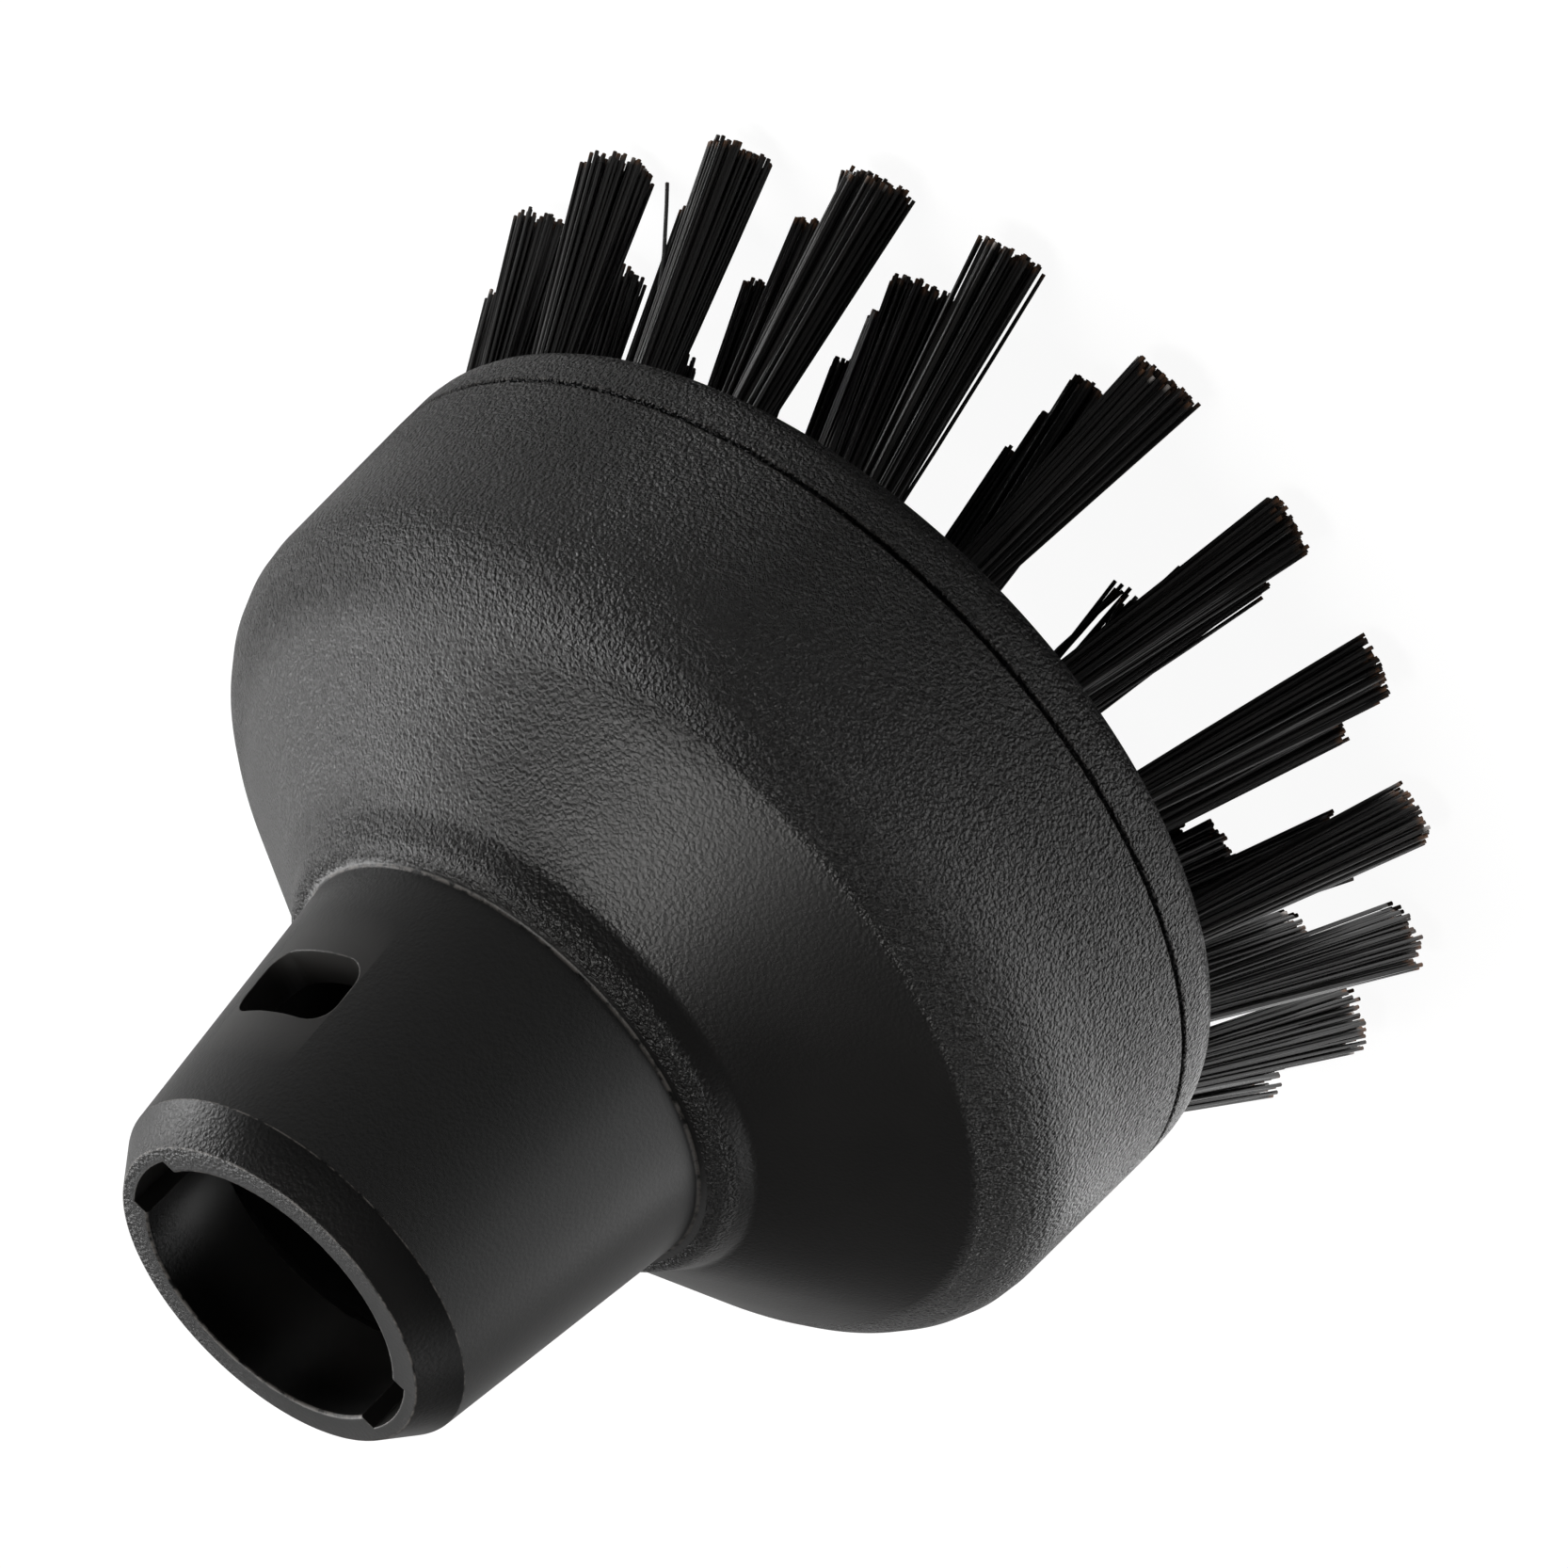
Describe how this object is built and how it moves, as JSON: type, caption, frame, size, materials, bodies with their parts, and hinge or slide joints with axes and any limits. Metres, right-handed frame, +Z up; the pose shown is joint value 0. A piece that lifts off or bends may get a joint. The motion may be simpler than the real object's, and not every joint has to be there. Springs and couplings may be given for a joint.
{
  "type": "round steam cleaner brush",
  "caption": "Round scrubbing brush that pushes onto a steam nozzle: tapered neck with a bayonet socket, domed body and rings of splayed bristle tufts.",
  "frame": {"origin": "centre of the brush's footprint, on the surface that the bristle tips stand on", "axes": "+Z up along the brush's own axis to the socket's mouth; X through the socket's two keyways"},
  "size_m": [0.0756, 0.0756, 0.0696],
  "materials": {
    "body_plastic": "fine moulded grain",
    "bristle": "extruded nylon filaments",
    "anchor_metal": "plain wire"
  },
  "bodies": {
    "root": {"housing": "body_plastic", "brush_plate": "body_plastic", "tuft_a_01": "bristle", "tuft_a_02": "bristle", "tuft_a_03": "bristle", "tuft_a_04": "bristle", "tuft_a_05": "bristle", "tuft_a_06": "bristle", "tuft_a_07": "bristle", "tuft_a_08": "bristle", "tuft_a_09": "bristle", "tuft_a_10": "bristle", "tuft_a_11": "bristle", "tuft_a_12": "bristle", "tuft_a_13": "bristle", "tuft_a_14": "bristle", "tuft_a_15": "bristle", "tuft_a_16": "bristle", "tuft_a_17": "bristle", "tuft_a_18": "bristle", "tuft_a_19": "bristle", "tuft_a_20": "bristle", "tuft_b_01": "bristle", "tuft_b_02": "bristle", "tuft_b_03": "bristle", "tuft_b_04": "bristle", "tuft_b_05": "bristle", "tuft_b_06": "bristle", "tuft_b_07": "bristle", "tuft_b_08": "bristle", "tuft_b_09": "bristle", "tuft_b_10": "bristle", "tuft_b_11": "bristle", "tuft_b_12": "bristle", "tuft_b_13": "bristle", "tuft_b_14": "bristle", "tuft_b_15": "bristle", "tuft_b_16": "bristle", "tuft_c_01": "bristle", "tuft_c_02": "bristle", "tuft_c_03": "bristle", "tuft_c_04": "bristle", "tuft_c_05": "bristle", "tuft_c_06": "bristle", "tuft_c_07": "bristle", "tuft_c_08": "bristle", "tuft_c_09": "bristle", "tuft_c_10": "bristle", "tuft_c_11": "bristle", "tuft_c_12": "bristle", "tuft_d_01": "bristle", "tuft_d_02": "bristle", "tuft_d_03": "bristle", "tuft_d_04": "bristle", "tuft_d_05": "bristle", "tuft_d_06": "bristle", "tuft_d_07": "bristle", "tuft_d_08": "bristle", "tuft_anchors": "anchor_metal"}
  },
  "joints": []
}
